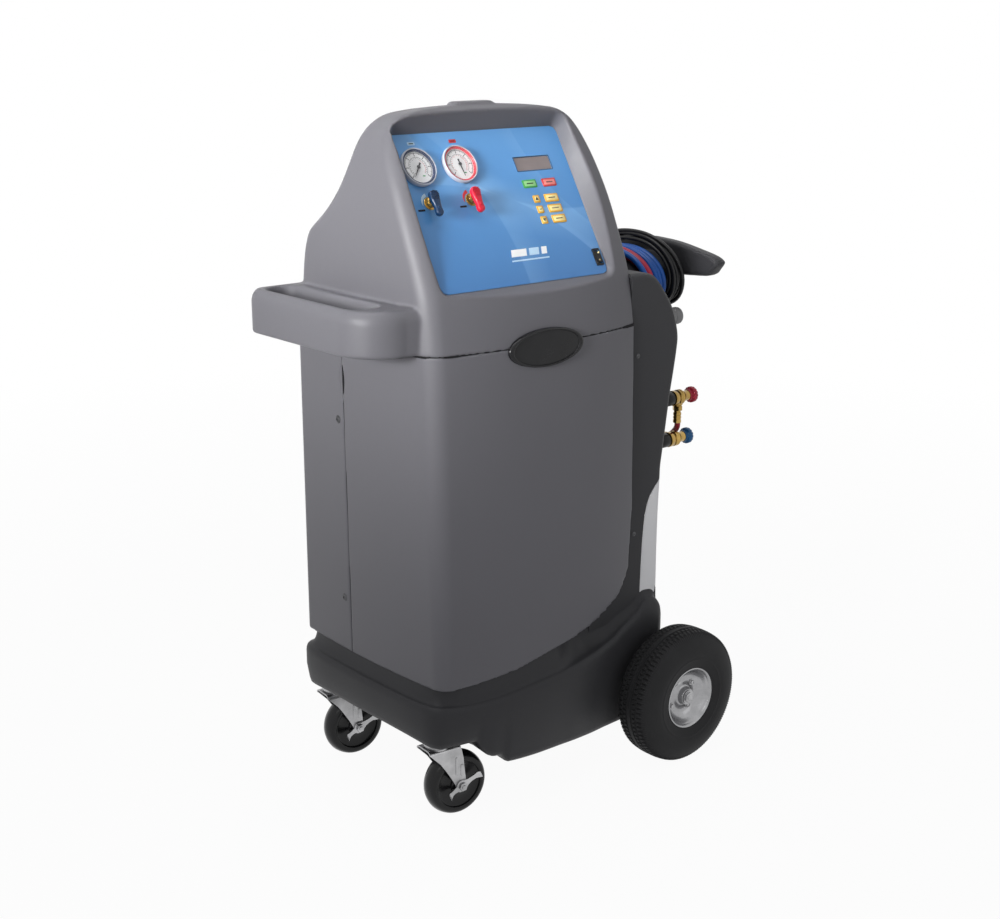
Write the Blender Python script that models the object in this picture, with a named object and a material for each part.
# Refrigerant recovery machine on two air-filled wheels and two braked casters, in metres.
# The origin is on the floor below the middle of the machine's length and width.
# +X points at the rear wheels, and the control panel looks towards -Y.
# The sizes below are measured from the middle of the body, and main() moves all to the origin.

import math

import bmesh
import bpy
from mathutils import Matrix, Vector

# From the middle of the body to the middle of the whole machine, tray to hanger
BODY_TO_MIDDLE = 0.0765

# Clearances
SEAT = 0.0003
RUN = 0.0003
FLAT = 0.000002

# Covers and hood, in plan
COVER_LEFT = -0.236
COVER_RIGHT = 0.228
FRONT_DEPTH = 0.196
BACK_DEPTH = 0.199
FRONT_CORNER = 0.028
BACK_CORNER = 0.016
COVER_WALL = 0.004
SIDE_BOW = 0.008
FRONT_BOW_TOP = 0.028
FRONT_BOW_FOOT = 0.020
BACK_BOW = 0.010
BOW_POWER = 2.6
COVER_DRAFT_FRONT = 0.010
COVER_DRAFT_SIDE = 0.007
COVER_FOOT = 0.255
SEAM_Z = 0.847
SIDE_SEAM_Y = 0.047
# The lower edge of a cover, as (x, z)
COVER_EDGE = [
    (-0.245, 0.259), (-0.105, 0.265), (-0.028, 0.275), (0.045, 0.289), (0.090, 0.301),
    (0.150, 0.322), (0.190, 0.347), (0.213, 0.378), (0.224, 0.424), (0.228, 0.500),
]

# Hood, as (z, size)
HOOD_TOP = 1.236
HOOD_WALL = 0.005
HOOD_FRONT = [
    (0.847, 0.196), (0.930, 0.184), (0.974, 0.170), (1.016, 0.153), (1.073, 0.128),
    (1.134, 0.096), (1.200, 0.058), (1.215, 0.052), (1.225, 0.046), (1.236, 0.026),
]
HOOD_BACK = [
    (0.847, 0.194), (0.930, 0.188), (0.977, 0.181), (1.005, 0.172), (1.020, 0.163),
    (1.033, 0.147), (1.051, 0.122), (1.082, 0.088), (1.111, 0.065), (1.146, 0.046),
    (1.189, 0.028), (1.207, 0.019), (1.220, 0.010), (1.231, -0.002), (1.236, -0.012),
]
HOOD_SIDE_INSET = [
    (0.847, 0.0), (1.040, 0.002), (1.100, 0.005), (1.150, 0.011), (1.180, 0.018),
    (1.200, 0.028), (1.215, 0.044), (1.225, 0.065), (1.231, 0.107), (1.236, 0.194),
]
HOOD_BOW = [(0.847, 0.028), (1.000, 0.024), (1.200, 0.016), (1.236, 0.002)]
HOOD_CORNER = [(0.847, 0.028), (1.050, 0.026), (1.200, 0.020), (1.231, 0.008), (1.236, 0.003)]
HOOD_CORNER_RIGHT = [(0.847, 0.005), (1.050, 0.006), (1.200, 0.009), (1.236, 0.003)]
HOOD_LEVELS = [
    0.847, 0.900, 0.945, 0.990, 1.018, 1.043, 1.075, 1.115, 1.165, 1.200, 1.220, 1.231, 1.236,
]
CAVITY_LEVELS = [0.847, 0.940, 0.990, 1.043, 1.095, 1.180]
BOSS_LENGTH = 0.092
BOSS_WIDTH = 0.034
BOSS_TOP = 1.2405
BOSS_Y = -0.013

# Side tray, which is also the push handle
TRAY_LEFT = -0.342
TRAY_NEAR = -0.168
TRAY_FAR = 0.195
TRAY_TOP = 0.925
TRAY_NEAR_CORNER = 0.080
TRAY_FAR_CORNER = 0.030
TROUGH_LEFT = -0.322
TROUGH_RIGHT = -0.257
TROUGH_NEAR = -0.108
TROUGH_FAR = 0.172
TROUGH_CORNER = 0.024
TROUGH_FLOOR = 0.862

# Control panel
PANEL_WIDTH = 0.372
PANEL_HEIGHT = 0.288
PANEL_THICK = 0.003
PANEL_CORNER = 0.012
PANEL_X = -0.013
PANEL_TOP_Y = -0.036
PANEL_TOP_Z = 1.192
PANEL_TILT = math.radians(31)
RECESS_DEPTH = 0.080
WINDOW_BORDER = 0.007
# How far the recess walls lean outwards for each unit of depth, along or down the panel
LEAN_TOP = [(-0.199, 0.45), (-0.100, 0.72), (-0.013, 0.83), (0.100, 0.70), (0.173, 0.40)]
LEAN_FOOT = [(-0.199, 1.10), (-0.100, 1.45), (-0.013, 1.55), (0.100, 1.45), (0.173, 1.15)]
LEAN_RIGHT = [(0.000, 0.20), (0.130, 0.75), (0.288, 1.30)]
LEAN_LEFT = [(0.000, 0.20), (0.130, 0.45), (0.288, 0.80)]
# Places on the panel are measured from its top edge above the machine's centre, (right, down).
GAUGE_DOWN = 0.0625
LOW_SIDE = -0.160
HIGH_SIDE = -0.072
VALVE_DOWN = 0.127
GAUGE_RADIUS = 0.0345
GAUGE_CAN_RADIUS = 0.030
GAUGE_CAN_DEPTH = 0.030
GAUGE_FRONT = 0.009
DIAL_DEPTH = 0.0040
NEEDLE_LENGTH = 0.022
NEEDLE_THICK = 0.0008
STEM_RADIUS = 0.0075
BONNET_RADIUS = 0.011
BONNET_HEIGHT = 0.010
SPINDLE_RADIUS = 0.004
LEVER_GAP = 0.0125
LEVER_THICK = 0.009
LEVER_REACH = 0.030
LEVER_BOSS = 0.0095
LEVER_TIP = 0.0065
KEY_RISE = 0.0012
KEY_STEM = 0.0028
KEY_CORNER = 0.0016
DISPLAY = (0.092, 0.0695, 0.080, 0.025)
WIDE_KEY = (0.031, 0.015)
SMALL_KEY = (0.014, 0.014)
KEYS = {
    "start_key": (0.0675, 0.1075, *WIDE_KEY),
    "stop_key": (0.1125, 0.1075, *WIDE_KEY),
    "up_key": (0.0705, 0.1370, *SMALL_KEY),
    "enter_key": (0.0705, 0.1570, *SMALL_KEY),
    "down_key": (0.0705, 0.1770, *SMALL_KEY),
    "recover_key": (0.1050, 0.1370, *WIDE_KEY),
    "vacuum_key": (0.1050, 0.1570, *WIDE_KEY),
    "charge_key": (0.1050, 0.1770, *WIDE_KEY),
}
SWITCH_RIGHT = 0.160
SWITCH_DOWN = PANEL_HEIGHT - 0.031
SWITCH_FRAME = (0.014, 0.030)
SWITCH_SLOT = (0.0106, 0.0246)
SWITCH_RISE = 0.0018

# Badge across the seam, left bare
BADGE_X = -0.008
BADGE_Z = 0.841
BADGE_HALF_WIDTH = 0.084
BADGE_HALF_HEIGHT = 0.033
BADGE_RISE = 0.0065

# Base tray
BASE_LEFT = -0.2540
BASE_RIGHT = 0.322
BASE_WALL = 0.005
LEDGE = 0.010
RIDGE_Z = [
    (-0.250, 0.233), (-0.135, 0.227), (-0.026, 0.235), (0.086, 0.245), (0.173, 0.259),
    (0.199, 0.272), (0.241, 0.291), (0.272, 0.313), (0.290, 0.312), (0.308, 0.298), (0.322, 0.262),
]
RIDGE_FRONT = [
    (-0.2540, 0.060), (-0.2530, 0.110), (-0.250, 0.152), (-0.245, 0.183), (-0.237, 0.200),
    (-0.227, 0.209), (-0.210, 0.2150), (-0.150, 0.226), (-0.060, 0.235), (0.000, 0.237),
    (0.060, 0.235), (0.120, 0.227), (0.180, 0.216), (0.240, 0.210), (0.300, 0.206),
    (0.314, 0.200), (0.322, 0.184),
]
RIDGE_BACK = [
    (-0.2540, 0.060), (-0.2530, 0.110), (-0.250, 0.152), (-0.245, 0.183), (-0.237, 0.200),
    (-0.227, 0.209), (-0.210, 0.2150), (-0.150, 0.221), (-0.060, 0.226), (0.000, 0.227),
    (0.060, 0.226), (0.120, 0.220), (0.180, 0.213), (0.240, 0.208), (0.300, 0.206),
    (0.314, 0.200), (0.322, 0.184),
]
KEEL_INSET = [(-0.2540, 0.004), (-0.060, 0.010), (0.060, 0.014), (0.160, 0.014), (0.322, 0.006)]
KEEL_Z = [
    (-0.2540, 0.158), (-0.243, 0.150), (-0.159, 0.150), (-0.147, 0.132), (-0.122, 0.111),
    (-0.104, 0.108), (-0.088, 0.091), (0.060, 0.082), (0.196, 0.073), (0.250, 0.074), (0.322, 0.096),
]
HIGH_FLOOR = 0.156
HIGH_FLOOR_X = -0.159
LOW_FLOOR = 0.106
LOW_FLOOR_X = -0.088
COVER_LAP = 0.008
FOOT_STEP = 0.013
HOUSING_FOOT_X = 0.130

# Rear housing and tank cover, side outline as (x, z)
HOUSING_HALF = 0.192
HOUSING_ROUND = 0.012
HOUSING_WALL = 0.004
HOUSING_REAR = [
    (0.230, 0.937), (0.258, 0.936), (0.283, 0.930), (0.300, 0.916), (0.313, 0.900),
    (0.335, 0.868), (0.347, 0.837), (0.353, 0.809), (0.351, 0.783), (0.344, 0.741),
    (0.337, 0.705), (0.333, 0.678), (0.321, 0.596), (0.3165, 0.566), (0.3155, 0.541),
    (0.3130, 0.480), (0.3120, 0.400), (0.3125, 0.297),
]
DOOR_EDGE = [
    (0.360, 0.5415), (0.312, 0.5410), (0.303, 0.5360), (0.288, 0.5200), (0.278, 0.5030),
    (0.271, 0.4780), (0.2675, 0.4500), (0.265, 0.4200), (0.263, 0.3700), (0.262, 0.3300),
]
DOOR_FOOT = 0.297
DOOR_GAP = 0.0005

# Hose hanger
DRUM_START = 0.262
DRUM_END = 0.4615
DRUM_Z = 0.892
DRUM_HALF_WIDTH = 0.0795
DRUM_HALF_HEIGHT = 0.044
WING_THICK = 0.0335
WING_EDGE_ROUND = 0.007
WING_HALF = [
    (0.000, 0.9640), (0.060, 0.9605), (0.120, 0.9505), (0.160, 0.9420), (0.1765, 0.9310),
    (0.167, 0.9160), (0.155, 0.9050), (0.120, 0.9010), (0.060, 0.8970), (0.000, 0.8955),
]

# Couplers and exhaust, on the rear face
COUPLER_Y = -0.150
HIGH_COUPLER_Z = 0.678
LOW_COUPLER_Z = 0.598
HIGH_COUPLER_X = 0.3785
LOW_COUPLER_X = 0.3690
COUPLER_RADIUS = 0.0145
COUPLER_NECK = 0.0100
COUPLER_LENGTH = 0.042
KNOB_RADIUS = 0.0155
KNOB_LENGTH = 0.0170
POST_RADIUS = 0.0135
FITTING_RADIUS = 0.0085
FITTING_LENGTH = 0.030
FITTING_OFFSET = 0.017
MUFFLER_Y = -0.125
MUFFLER_Z = 0.831
MUFFLER_RADIUS = 0.0165
MUFFLER_START = 0.330
MUFFLER_END = 0.416

# Hoses and mains lead
HOSE_DIAMETER = 0.0115
LEAD_DIAMETER = 0.008
HOSE_TURNS = 5
LEAD_TURNS = 5
COIL_START = 0.3535
COIL_GAP = 0.002
COIL_SAG = 0.003
HOSE_LAYERS = 2
GLAND_Y = 0.120
GLAND_Z = 0.700
LEAD_JOIN_Z = 0.8480
GLAND_RADIUS = 0.0125
GLAND_START = 0.325
GLAND_END = 0.372

# Rear wheels
AXLE_X = 0.304
AXLE_RADIUS = 0.008
NUT_RADIUS = 0.011
NUT_LENGTH = 0.004
TYRE_RADIUS = 0.130
TYRE_INNER = 0.2145
TYRE_OUTER = 0.2995
RIM_OUTER = TYRE_OUTER - 0.006
RIM_FLANGE = 0.059
RIM_SEAT = 0.0535
HUB_RADIUS = 0.016
HUB_OUTER = RIM_OUTER - 0.0058

# Casters
CASTER_X = -0.203
CASTER_Y = 0.158
CASTER_TOP = 0.1497
CASTER_TRAIL = 0.037
CASTER_YAW = math.radians(-6)
CASTER_RADIUS = 0.060
CASTER_WIDTH = 0.038
CASTER_PLATE = (0.076, 0.072, 0.0025)
RACE_RADIUS = 0.024
RACE_HEIGHT = 0.010
FORK_WALL = 0.0025
FORK_GAP = 0.0025
BOLT_RADIUS = 0.0055
BRAKE_THICK = 0.003
BRAKE_REACH = 0.040
BRAKE_PLAY = 0.0008

# Inside the machine
SCALE_SIZE = (0.228, 0.228, 0.028)
TANK_X = 0.172
TANK_RADIUS = 0.114
TANK_HEIGHT = 0.400
TANK_WALL = 0.003
COMPRESSOR_X = -0.016
COMPRESSOR_Y = -0.100
COMPRESSOR_RADIUS = 0.064
COMPRESSOR_HEIGHT = 0.190
PUMP_Y = 0.104
PUMP_RADIUS = 0.048
PUMP_LENGTH = 0.130
FILTER_Y = 0.006
FILTER_RADIUS = 0.026
FILTER_HEIGHT = 0.170
CORE_X = -0.2210
CORE_THICK = 0.024
CORE_WIDTH = 0.290
CORE_HEIGHT = 0.250
FAN_RADIUS = 0.100
FAN_DEPTH = 0.014
FAN_SHAFT = 0.003
FAN_HUB = 0.018
BLADE_HALF_THICK = 0.0012


def clear_scene():
    for thing in list(bpy.data.objects):
        bpy.data.objects.remove(thing, do_unlink=True)


def material(name, colour, roughness, metallic=0.0):
    made = bpy.data.materials.get(name) or bpy.data.materials.new(name)
    made.use_nodes = True
    shader = made.node_tree.nodes["Principled BSDF"]
    shader.inputs["Base Color"].default_value = (*colour, 1)
    shader.inputs["Roughness"].default_value = roughness
    shader.inputs["Metallic"].default_value = metallic
    made.diffuse_color = (*colour, 1)
    return made


GREY = ("grey_moulding", (0.16, 0.16, 0.17), 0.45)
CHARCOAL = ("charcoal_moulding", (0.035, 0.035, 0.038), 0.5)
WHITE = ("pale_moulding", (0.60, 0.59, 0.62), 0.4)
BLUE_PANEL = ("panel_face", (0.08, 0.25, 0.55), 0.35)
BLACK = ("black_plastic", (0.012, 0.012, 0.013), 0.4)
RUBBER = ("rubber", (0.018, 0.018, 0.018), 0.8)
ZINC = ("zinc_steel", (0.60, 0.60, 0.62), 0.35, 1.0)
BRASS = ("brass", (0.65, 0.45, 0.16), 0.3, 1.0)
RED = ("red_plastic", (0.50, 0.02, 0.04), 0.35)
BLUE = ("blue_plastic", (0.01, 0.12, 0.35), 0.35)
YELLOW = ("yellow_key", (0.80, 0.55, 0.05), 0.4)
GREEN = ("green_key", (0.03, 0.35, 0.06), 0.4)
CASE = ("gauge_case", (0.72, 0.74, 0.78), 0.3)
GLASS = ("display_window", (0.13, 0.13, 0.13), 0.2)
TANK = ("tank_paint", (0.42, 0.43, 0.44), 0.4)


def smooth_value(points, at):
    """The value at a place on a smooth curve through rising (place, value) points."""
    if at <= points[0][0]:
        return points[0][1]
    if at >= points[-1][0]:
        return points[-1][1]
    spans = [b[0] - a[0] for a, b in zip(points, points[1:])]
    slopes = [(b[1] - a[1]) / s for a, b, s in zip(points, points[1:], spans)]
    tangents = [slopes[0]]
    for before, after in zip(slopes, slopes[1:]):
        same_way = before * after > 0
        tangents.append(2 * before * after / (before + after) if same_way else 0.0)
    tangents.append(slopes[-1])
    k = max(i for i in range(len(spans)) if points[i][0] <= at)
    t = (at - points[k][0]) / spans[k]
    return (
        (2 * t**3 - 3 * t**2 + 1) * points[k][1]
        + (t**3 - 2 * t**2 + t) * spans[k] * tangents[k]
        + (3 * t**2 - 2 * t**3) * points[k + 1][1]
        + (t**3 - t**2) * spans[k] * tangents[k + 1]
    )


def add_object(name, mesh, look=None, sharp=35.0):
    made = bpy.data.objects.new(name, mesh)
    bpy.context.scene.collection.objects.link(made)
    if look:
        mesh.materials.append(material(*look))
    mesh.shade_smooth()
    mesh.set_sharp_from_angle(angle=math.radians(sharp))
    return made


def finish(name, bm, look):
    bmesh.ops.recalc_face_normals(bm, faces=bm.faces)
    bent = [f for f in bm.faces if any(abs((v.co - f.calc_center_median()).dot(f.normal)) > FLAT
                                       for v in f.verts)]
    bmesh.ops.triangulate(bm, faces=bent)
    mesh = bpy.data.meshes.new(name)
    bm.to_mesh(mesh)
    bm.free()
    return add_object(name, mesh, look)


def ring_solid(name, rings, look=None):
    """A closed body through closed rings of equal length, capped at both ends."""
    bm = bmesh.new()
    made = [[bm.verts.new(p) for p in ring] for ring in rings]
    count = len(rings[0])
    for lower, upper in zip(made, made[1:]):
        for i in range(count):
            j = (i + 1) % count
            bm.faces.new((lower[i], lower[j], upper[j], upper[i]))
    bm.faces.new(list(reversed(made[0])))
    bm.faces.new(made[-1])
    return finish(name, bm, look)


def hoop_solid(name, rings, look=None):
    """A closed body through rings that return to the first one, such as a tube's wall."""
    bm = bmesh.new()
    made = [[bm.verts.new(p) for p in ring] for ring in rings]
    count = len(rings[0])
    for lower, upper in zip(made, made[1:] + made[:1]):
        for i in range(count):
            j = (i + 1) % count
            bm.faces.new((lower[i], lower[j], upper[j], upper[i]))
    return finish(name, bm, look)


def sheet_solid(name, outer, inner, look=None):
    """A closed body between two matching grids of points."""
    bm = bmesh.new()
    skins = [[[bm.verts.new(p) for p in row] for row in grid] for grid in (outer, inner)]
    rows, columns = len(outer), len(outer[0])
    for skin in skins:
        for r in range(rows - 1):
            for c in range(columns - 1):
                bm.faces.new((skin[r][c], skin[r][c + 1], skin[r + 1][c + 1], skin[r + 1][c]))
    out, back = skins
    for r in (0, rows - 1):
        for c in range(columns - 1):
            bm.faces.new((out[r][c], out[r][c + 1], back[r][c + 1], back[r][c]))
    for c in (0, columns - 1):
        for r in range(rows - 1):
            bm.faces.new((out[r][c], out[r + 1][c], back[r + 1][c], back[r][c]))
    return finish(name, bm, look)


def turned(name, profile, look=None, steps=24, closed=False):
    """A body turned about Z from (radius, height) points; a closed profile leaves a bore."""
    bm = bmesh.new()
    points = [bm.verts.new((r, 0, h)) for r, h in profile]
    pairs = list(zip(points, points[1:]))
    if closed:
        pairs.append((points[-1], points[0]))
    edges = [bm.edges.new(pair) for pair in pairs]
    bmesh.ops.spin(
        bm, geom=points + edges, cent=(0, 0, 0), axis=(0, 0, 1),
        angle=math.tau, steps=steps, use_merge=True,
    )
    bmesh.ops.remove_doubles(bm, verts=bm.verts, dist=0.00001)
    return finish(name, bm, look)


def prism(name, outline, low, high, look=None):
    """A flat outline of (x, y) points, raised from one height to another."""
    return ring_solid(name, [[(x, y, h) for x, y in outline] for h in (low, high)], look)


def block(name, size, centre, look=None):
    half = Vector(size) / 2
    corners = [(-half.x, -half.y), (half.x, -half.y), (half.x, half.y), (-half.x, half.y)]
    outline = [(centre[0] + x, centre[1] + y) for x, y in corners]
    return prism(name, outline, centre[2] - half.z, centre[2] + half.z, look)


def arc(centre, radius, start, end, steps):
    turn = [math.radians(start + (end - start) * i / steps) for i in range(steps + 1)]
    return [(centre[0] + radius * math.cos(a), centre[1] + radius * math.sin(a)) for a in turn]


def rounded_outline(width, height, radius, steps=3, centre=(0, 0)):
    x, y = width / 2 - radius, height / 2 - radius
    corners = [((x, y), 0), ((-x, y), 90), ((-x, -y), 180), ((x, -y), 270)]
    made = []
    for (cx, cy), start in corners:
        made += arc((centre[0] + cx, centre[1] + cy), radius, start, start + 90, steps)
    return made


def oval(half_width, half_height, steps=24, power=2.2):
    made = []
    for i in range(steps):
        a = math.tau * i / steps
        c, s = math.cos(a), math.sin(a)
        made.append((
            half_width * math.copysign(abs(c) ** (2 / power), c),
            half_height * math.copysign(abs(s) ** (2 / power), s),
        ))
    return made


def inset_outline(outline, by):
    """The outline moved inwards along its own normals; it runs anticlockwise."""
    made = []
    for i, here in enumerate(outline):
        before, after = Vector(outline[i - 1]), Vector(outline[(i + 1) % len(outline)])
        along = (after - before).normalized()
        made.append((here[0] - along.y * by, here[1] + along.x * by))
    return made


def tool(made):
    made.hide_render = True
    made.display_type = "WIRE"
    return made


def combine(target, other, operation):
    step = target.modifiers.new(operation.lower(), "BOOLEAN")
    step.operation = operation
    step.object = tool(other)
    return target


def cut(target, *others):
    for other in others:
        combine(target, other, "DIFFERENCE")
    return target


def join(target, *others):
    for other in others:
        combine(target, other, "UNION")
    return target


def place(made, at, turn=None):
    made.matrix_world = Matrix.Translation(at) @ (turn or Matrix.Identity(4))
    return made


# Lying along X or Y: the turned height runs along +X or +Y.
ALONG_X = Matrix.Rotation(math.radians(90), 4, "Y")
ALONG_Y = Matrix.Rotation(math.radians(-90), 4, "X")


def cover_share(z):
    """0 at the hood seam and 1 at the foot of the covers."""
    return (SEAM_Z - z) / (SEAM_Z - COVER_FOOT)


def bowed(x, bow):
    middle = (COVER_LEFT + COVER_RIGHT) / 2
    half = (COVER_RIGHT - COVER_LEFT) / 2
    return bow * (1 - min(1.0, abs((x - middle) / half)) ** BOW_POWER)


def cover_size(share, side):
    """Depth, bow and corner radius of the front (-1) or back (1) cover."""
    if side < 0:
        bow = FRONT_BOW_TOP + (FRONT_BOW_FOOT - FRONT_BOW_TOP) * share
        return FRONT_DEPTH + COVER_DRAFT_FRONT * share, bow, FRONT_CORNER
    return BACK_DEPTH + COVER_DRAFT_FRONT * share, BACK_BOW, BACK_CORNER


def cover_plan(z, side, seam_y, offset=0.0, front_steps=9, side_steps=4):
    """Points along a cover at one height, from its right edge round the corner to its seam."""
    share = cover_share(z)
    depth, bow, radius = cover_size(share, side)
    left = COVER_LEFT + COVER_DRAFT_SIDE * share
    corner_x, corner_y = left + radius, depth - radius
    path = []
    for i in range(front_steps):
        x = COVER_RIGHT + (corner_x - COVER_RIGHT) * i / front_steps
        path.append((x, depth + bowed(x, bow)))
    for x, y in arc((corner_x, corner_y), radius, 90, 180, 4):
        path.append((x, y + bowed(x, bow)))
    end = seam_y * side
    for i in range(1, side_steps + 1):
        y = corner_y + (end - corner_y) * i / side_steps
        path.append((left - SIDE_BOW * (1 - (y / corner_y) ** 2), y))
    made = []
    for i, (x, y) in enumerate(path):
        a, b = path[max(0, i - 1)], path[min(len(path) - 1, i + 1)]
        along = (Vector(b) - Vector(a)).normalized()
        if i == 0:
            along = Vector((-1, 0))
        if i == len(path) - 1:
            along = Vector((0, -1))
        made.append(((x - along.y * offset), (y + along.x * offset) * side))
    return made


def cover(name, side, seam_y, rows=5):
    top = SEAM_Z - SEAT
    outer, inner = [], []
    reach = cover_plan(SEAM_Z, side, seam_y)
    for r in range(rows + 1):
        share = r / rows
        skins = ([], [])
        for i, (x, _) in enumerate(reach):
            foot = smooth_value(COVER_EDGE, x)
            z = foot + (top - foot) * share
            for skin, offset in zip(skins, (0.0, COVER_WALL)):
                px, py = cover_plan(z, side, seam_y, offset)[i]
                skin.append((px, py, z))
        outer.append(skins[0])
        inner.append(skins[1])
    return sheet_solid(name, outer, inner, GREY)


def make_covers():
    """Front and back covers, which meet at the seam on the left side."""
    pull = turned("pull_recess", [(0, -1), (0.7, -0.7), (1, 0), (0.7, 0.7), (0, 1)], steps=12)
    seam_x = COVER_LEFT - SIDE_BOW
    pull.matrix_world = Matrix.LocRotScale(
        (seam_x, SIDE_SEAM_Y, SEAM_Z - 0.040), None, (0.0028, 0.0075, 0.034)
    )
    cut(cover("front_cover", -1, SIDE_SEAM_Y - SEAT / 2), pull)
    cut(cover("back_cover", 1, SIDE_SEAM_Y + SEAT / 2), pull)


def hood_ring(z, inset=0.0, front=None, bow=None, corner_steps=3, front_steps=7, side_steps=3):
    """The hood's outline at one height; front and bow replace the outer skin's own."""
    depth = smooth_value(HOOD_FRONT, z) - inset if front is None else front
    bow = smooth_value(HOOD_BOW, z) if bow is None else bow
    back = smooth_value(HOOD_BACK, z) - inset
    side = smooth_value(HOOD_SIDE_INSET, z) + inset
    left, right = COVER_LEFT + side, COVER_RIGHT - side
    radii = []
    for table in (HOOD_CORNER_RIGHT, HOOD_CORNER, HOOD_CORNER, HOOD_CORNER):
        radius = max(0.002, smooth_value(table, z) - inset / 2)
        radii.append(min(radius, (back + depth) / 2 - 0.001))
    side_bow = SIDE_BOW * max(0.0, 1 - side / 0.02)
    middle = (back - depth) / 2
    reach = (back + depth) / 2
    points = []

    def edge(a, b, steps):
        for i in range(1, steps):
            points.append((a[0] + (b[0] - a[0]) * i / steps, a[1] + (b[1] - a[1]) * i / steps))

    corners = [(right, -depth, -1, 1), (left, -depth, 1, 1), (left, back, 1, -1), (right, back, -1, -1)]
    bends = []
    for k, (x, y, sx, sy) in enumerate(corners):
        centre = (x + sx * radii[k], y + sy * radii[k])
        bends.append(arc(centre, radii[k], -90 * k, -90 * k - 90, corner_steps))
    for k, bend in enumerate(bends):
        points += bend
        edge(bend[-1], bends[(k + 1) % 4][0], front_steps if k == 0 else side_steps)
    made = []
    for x, y in points:
        if y < -depth + radii[1]:
            y -= bowed(x, bow)
        if x < left + radii[1]:
            x -= side_bow * (1 - min(1.0, abs((y - middle) / reach)) ** 2)
        made.append((x, y, z))
    return made


def panel_matrix():
    """The panel's own frame: X to the right, Y up along the face, Z out of the face."""
    turn = Matrix.Rotation(math.pi / 2 - PANEL_TILT, 4, "X")
    return Matrix.Translation((0, PANEL_TOP_Y, PANEL_TOP_Z)) @ turn


def on_panel(made, right=0.0, down=0.0):
    made.matrix_world = panel_matrix() @ Matrix.Translation((right, -down, 0))
    return made


def panel_y(z, behind=0.0):
    """Where the panel's plane, moved back by a distance, lies at a height."""
    return PANEL_TOP_Y - (PANEL_TOP_Z - z) * math.tan(PANEL_TILT) + behind / math.cos(PANEL_TILT)


def cavity_ring(z):
    floor = panel_y(z, PANEL_THICK + SEAT + HOOD_WALL)
    skin = smooth_value(HOOD_FRONT, z) - HOOD_WALL
    bow = smooth_value(HOOD_BOW, z)
    if floor > -skin - bow + 0.002:
        return hood_ring(z, HOOD_WALL, -max(floor, -skin), 0.0)
    return hood_ring(z, HOOD_WALL, skin, bow)


def tray_outline(inset, wall_x):
    """The tray seen from above, with a wide near corner; it ends at the hood's side."""
    left, near, far = TRAY_LEFT + inset, TRAY_NEAR + inset, TRAY_FAR - inset
    near_r = max(0.004, TRAY_NEAR_CORNER - inset)
    far_r = max(0.004, TRAY_FAR_CORNER - inset)
    made = [(wall_x, far)]
    made += arc((left + far_r, far - far_r), far_r, 90, 180, 4)
    made += arc((left + near_r, near + near_r), near_r, 180, 270, 8)
    made.append((wall_x, near - 0.006))
    return made


def recess_ring(depth):
    """The recess round the panel at a depth in front of it; its walls lean outwards."""
    half_width, half_height = PANEL_WIDTH / 2 + SEAT, PANEL_HEIGHT / 2 + SEAT
    reach = (half_width - PANEL_CORNER, half_height - PANEL_CORNER)
    points = []
    for k, (sx, sy) in enumerate(((1, 1), (-1, 1), (-1, -1), (1, -1))):
        points += arc((sx * reach[0], sy * reach[1]), PANEL_CORNER, 90 * k, 90 * k + 90, 2)
        (x, y), steps = points[-1], (4, 2)[k % 2]
        end = (-x, y) if k % 2 == 0 else (x, -y)
        for i in range(1, steps):
            points.append((x + (end[0] - x) * i / steps, y + (end[1] - y) * i / steps))
    made = []
    for x, y in points:
        across = max(-1.0, min(1.0, (x - math.copysign(reach[0], x)) / PANEL_CORNER))
        along = max(-1.0, min(1.0, (y - math.copysign(reach[1], y)) / PANEL_CORNER))
        if abs(x) < reach[0]:
            across = 0.0
        if abs(y) < reach[1]:
            along = 0.0
        side = LEAN_RIGHT if x > 0 else LEAN_LEFT
        end = LEAN_TOP if y > 0 else LEAN_FOOT
        out = max(0.0, depth)
        right, down = x + PANEL_X, PANEL_HEIGHT / 2 - y
        lean_x = smooth_value(side, down) * across * out
        lean_y = smooth_value(end, right) * along * out
        made.append((right + lean_x, -down + lean_y, depth))
    return made


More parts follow.
